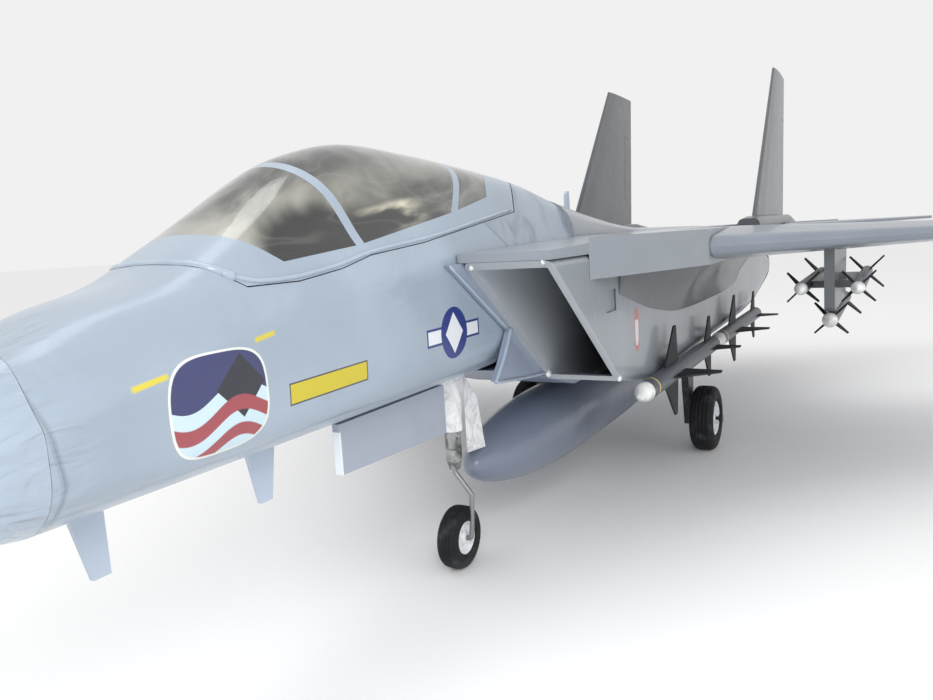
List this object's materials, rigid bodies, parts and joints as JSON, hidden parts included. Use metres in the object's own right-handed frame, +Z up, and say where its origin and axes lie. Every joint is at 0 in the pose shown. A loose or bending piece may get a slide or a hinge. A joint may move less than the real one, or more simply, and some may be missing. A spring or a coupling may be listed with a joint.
{
  "type": "rc jet plane",
  "caption": "Twin-fan, twin-fin radio-controlled jet with steering nose gear, moving control surfaces, lift-off canopy and underwing stores.",
  "frame": {"origin": "on the floor under the tyres, at the middle of the bounding box", "axes": "+Y aft along the fuselage, nose at -Y, +X to port, +Z up"},
  "size_m": [1.087, 1.62, 0.5],
  "materials": {
    "battery_wrap": "shrink wrap",
    "carbon": "carbon tube",
    "case_plastic": "moulded cases",
    "cockpit_black": "matt black",
    "fan_plastic": "glass-filled nylon",
    "film": "glossy light blue-grey covering film over foam sheet",
    "foam_white": "plain white foam sheet",
    "hub_nylon": "white nylon",
    "leg_black": "satin black",
    "missile_black": "satin black",
    "missile_grey": "satin grey",
    "missile_white": "gloss white",
    "nozzle_metal": "dark metallic paint",
    "smoked_glass": "smoked clear plastic",
    "tube_alloy": "dull drawn tube",
    "tyre_rubber": "soft foam rubber",
    "wire_steel": "bright drawn wire"
  },
  "bodies": {
    "airframe": {"blade_antennas": "film", "centre_fuselage": "film", "cockpit_tub": "cockpit_black", "conformal_tank_port": "film", "conformal_tank_starboard": "film", "drop_tank": "film", "fan_housing_port": "fan_plastic", "fan_housing_starboard": "fan_plastic", "fin_port": "film", "fin_starboard": "film", "flight_battery": "battery_wrap", "forward_fuselage": "film", "glove_port": "film", "glove_starboard": "film", "intake_port": "film", "intake_starboard": "film", "main_leg_port": "leg_black", "main_leg_starboard": "leg_black", "missile_fins": "missile_black", "missile_noses": "missile_white", "missile_tubes": "missile_grey", "nacelle_port": "film", "nacelle_starboard": "film", "nose_door": "film", "nose_flap": "foam_white", "nose_strut": "tube_alloy", "nose_strut_cover": "foam_white", "nozzle_port": "nozzle_metal", "nozzle_starboard": "nozzle_metal", "pilot_seats": "cockpit_black", "radio_and_controllers": "case_plastic", "radome": "film", "servos": "case_plastic", "spine_deck": "film", "splitter_port": "film", "splitter_starboard": "film", "store_pylons": "film", "tail_boom_port": "film", "tail_boom_starboard": "film", "wing_port": "film", "wing_spar": "carbon", "wing_starboard": "film"},
    "canopy_hatch": {"canopy_frame": "film", "canopy_glass": "smoked_glass"},
    "aileron_port": {"aileron_port": "film"},
    "aileron_starboard": {"aileron_starboard": "film"},
    "rudder_port": {"rudder_port": "film"},
    "rudder_starboard": {"rudder_starboard": "film"},
    "stabilator_port": {"stabilator_port": "film"},
    "stabilator_starboard": {"stabilator_starboard": "film"},
    "fan_rotor_port": {"fan_rotor_port": "fan_plastic"},
    "fan_rotor_starboard": {"fan_rotor_starboard": "fan_plastic"},
    "nose_leg": {"nose_leg": "wire_steel"},
    "nose_wheel": {"nose_tyre": "tyre_rubber", "nose_hub": "hub_nylon"},
    "main_wheel_port": {"main_tyre_port": "tyre_rubber", "main_hub_port": "hub_nylon"},
    "main_wheel_starboard": {"main_tyre_starboard": "tyre_rubber", "main_hub_starboard": "hub_nylon"}
  },
  "joints": [
    {"name": "canopy_lift", "type": "slide", "parent": "airframe", "child": "canopy_hatch", "axis": [0, 0, 1], "range_m": [0, 0.08]},
    {"name": "aileron_port_hinge", "type": "hinge", "parent": "airframe", "child": "aileron_port", "pos_m": [0.33, 0.30545, 0.2453], "axis": [0.977, 0.213, -0.0105], "range_deg": [-20, 20]},
    {"name": "aileron_starboard_hinge", "type": "hinge", "parent": "airframe", "child": "aileron_starboard", "pos_m": [-0.33, 0.30545, 0.2453], "axis": [0.977, -0.213, 0.0105], "range_deg": [-20, 20]},
    {"name": "rudder_port_hinge", "type": "hinge", "parent": "airframe", "child": "rudder_port", "pos_m": [0.134, 0.62302, 0.318], "axis": [0, 0.0875, 0.9962], "range_deg": [-25, 25]},
    {"name": "rudder_starboard_hinge", "type": "hinge", "parent": "airframe", "child": "rudder_starboard", "pos_m": [-0.134, 0.62302, 0.318], "axis": [0, 0.0875, 0.9962], "range_deg": [-25, 25]},
    {"name": "nose_steering", "type": "hinge", "parent": "airframe", "child": "nose_leg", "pos_m": [0, -0.274, 0.15], "axis": [0, 0, 1], "range_deg": [-25, 25]},
    {"name": "stabilator_port_pivot", "type": "hinge", "parent": "airframe", "child": "stabilator_port", "pos_m": [0.14, 0.66, 0.253], "axis": [1, 0, 0], "range_deg": [-18, 18]},
    {"name": "stabilator_starboard_pivot", "type": "hinge", "parent": "airframe", "child": "stabilator_starboard", "pos_m": [-0.14, 0.66, 0.253], "axis": [1, 0, 0], "range_deg": [-18, 18]},
    {"name": "fan_spin_port", "type": "hinge", "parent": "airframe", "child": "fan_rotor_port", "pos_m": [0.0688, 0.405, 0.189], "axis": [0, 1, 0], "continuous": true},
    {"name": "fan_spin_starboard", "type": "hinge", "parent": "airframe", "child": "fan_rotor_starboard", "pos_m": [-0.0688, 0.405, 0.189], "axis": [0, 1, 0], "continuous": true},
    {"name": "nose_wheel_spin", "type": "hinge", "parent": "nose_leg", "child": "nose_wheel", "pos_m": [0, -0.274, 0.0255], "axis": [1, 0, 0], "continuous": true},
    {"name": "main_wheel_port_spin", "type": "hinge", "parent": "airframe", "child": "main_wheel_port", "pos_m": [0.114, 0.125, 0.038], "axis": [1, 0, 0], "continuous": true},
    {"name": "main_wheel_starboard_spin", "type": "hinge", "parent": "airframe", "child": "main_wheel_starboard", "pos_m": [-0.114, 0.125, 0.038], "axis": [1, 0, 0], "continuous": true}
  ],
  "couplings": [
    {"joint": "aileron_starboard_hinge", "follows": "aileron_port_hinge", "ratio": -1},
    {"joint": "rudder_starboard_hinge", "follows": "rudder_port_hinge", "ratio": 1},
    {"joint": "nose_steering", "follows": "rudder_port_hinge", "ratio": -1},
    {"joint": "stabilator_starboard_pivot", "follows": "stabilator_port_pivot", "ratio": 1}
  ]
}
